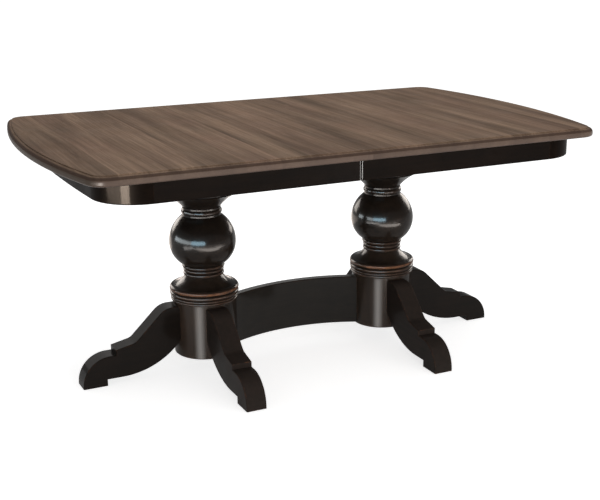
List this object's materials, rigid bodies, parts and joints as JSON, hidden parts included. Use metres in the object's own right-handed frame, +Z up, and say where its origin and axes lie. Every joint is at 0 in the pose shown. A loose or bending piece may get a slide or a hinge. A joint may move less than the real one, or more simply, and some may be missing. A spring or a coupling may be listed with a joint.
{
  "type": "double pedestal dining table",
  "caption": "Extension dining table with a bowed-end plank top that splits at the middle, black apron, and turned pedestals on scroll legs joined by a bowed stretcher.",
  "frame": {"origin": "on the floor, under the middle of the table", "axes": "+X along the table's length to the right, +Y to the back, +Z up"},
  "size_m": [1.6998, 1.04, 0.762],
  "materials": {
    "top_wood": "stained brown boards with a satin lacquer",
    "black_lacquer": "near-black glossy lacquer over brown wood, rubbed at the edges",
    "slide_wood": "plain pale hardwood",
    "zinc_steel": "zinc plated",
    "nylon": "black nylon"
  },
  "bodies": {
    "base": {"foot_glides": "nylon", "front_fixed_rail": "slide_wood", "gear_axle": "zinc_steel", "gear_bridge": "slide_wood", "left_column": "black_lacquer", "left_cross_plate": "slide_wood", "left_front_leg": "black_lacquer", "left_outer_leg": "black_lacquer", "left_rear_leg": "black_lacquer", "leg_bolts": "zinc_steel", "leg_nuts": "zinc_steel", "plate_screws": "zinc_steel", "rail_screws": "zinc_steel", "rear_fixed_rail": "slide_wood", "right_column": "black_lacquer", "right_cross_plate": "slide_wood", "right_front_leg": "black_lacquer", "right_outer_leg": "black_lacquer", "right_rear_leg": "black_lacquer", "stretcher": "black_lacquer"},
    "left_top": {"alignment_pins": "slide_wood", "left_board_1": "top_wood", "left_board_2": "top_wood", "left_board_3": "top_wood", "left_board_4": "top_wood", "left_board_5": "top_wood", "left_board_6": "top_wood", "left_board_7": "top_wood", "left_board_8": "top_wood", "left_end_apron": "black_lacquer", "left_front_apron": "black_lacquer", "left_front_slide": "slide_wood", "left_glue_blocks": "slide_wood", "left_rack": "nylon", "left_rear_apron": "black_lacquer", "left_rear_slide": "slide_wood", "left_top_screws": "zinc_steel", "lock_plates": "zinc_steel"},
    "right_top": {"lock_keepers": "zinc_steel", "right_board_1": "top_wood", "right_board_2": "top_wood", "right_board_3": "top_wood", "right_board_4": "top_wood", "right_board_5": "top_wood", "right_board_6": "top_wood", "right_board_7": "top_wood", "right_board_8": "top_wood", "right_end_apron": "black_lacquer", "right_front_apron": "black_lacquer", "right_front_slide": "slide_wood", "right_glue_blocks": "slide_wood", "right_rack": "nylon", "right_rear_apron": "black_lacquer", "right_rear_slide": "slide_wood", "right_top_screws": "zinc_steel"},
    "gear": {"equalizer_gear": "nylon"},
    "front_lock": {"front_lock_lever": "zinc_steel"},
    "rear_lock": {"rear_lock_lever": "zinc_steel"}
  },
  "joints": [
    {"name": "left_slide", "type": "slide", "parent": "base", "child": "left_top", "axis": [-1, 0, 0], "range_m": [0, 0.305]},
    {"name": "right_slide", "type": "slide", "parent": "base", "child": "right_top", "axis": [1, 0, 0], "range_m": [0, 0.305]},
    {"name": "gear_spin", "type": "hinge", "parent": "base", "child": "gear", "pos_m": [0, 0, 0.7095], "axis": [0, 0, -1], "range_deg": [0, 292]},
    {"name": "front_lock_turn", "type": "hinge", "parent": "left_top", "child": "front_lock", "pos_m": [-0.03, -0.3335, 0.7222], "axis": [0, 0, 1], "range_deg": [0, 90]},
    {"name": "rear_lock_turn", "type": "hinge", "parent": "left_top", "child": "rear_lock", "pos_m": [-0.03, 0.3335, 0.7222], "axis": [0, 0, -1], "range_deg": [0, 90]}
  ],
  "couplings": [
    {"joint": "right_slide", "follows": "left_slide", "ratio": 1},
    {"joint": "gear_spin", "follows": "left_slide", "rad_per_m": 16.667}
  ]
}
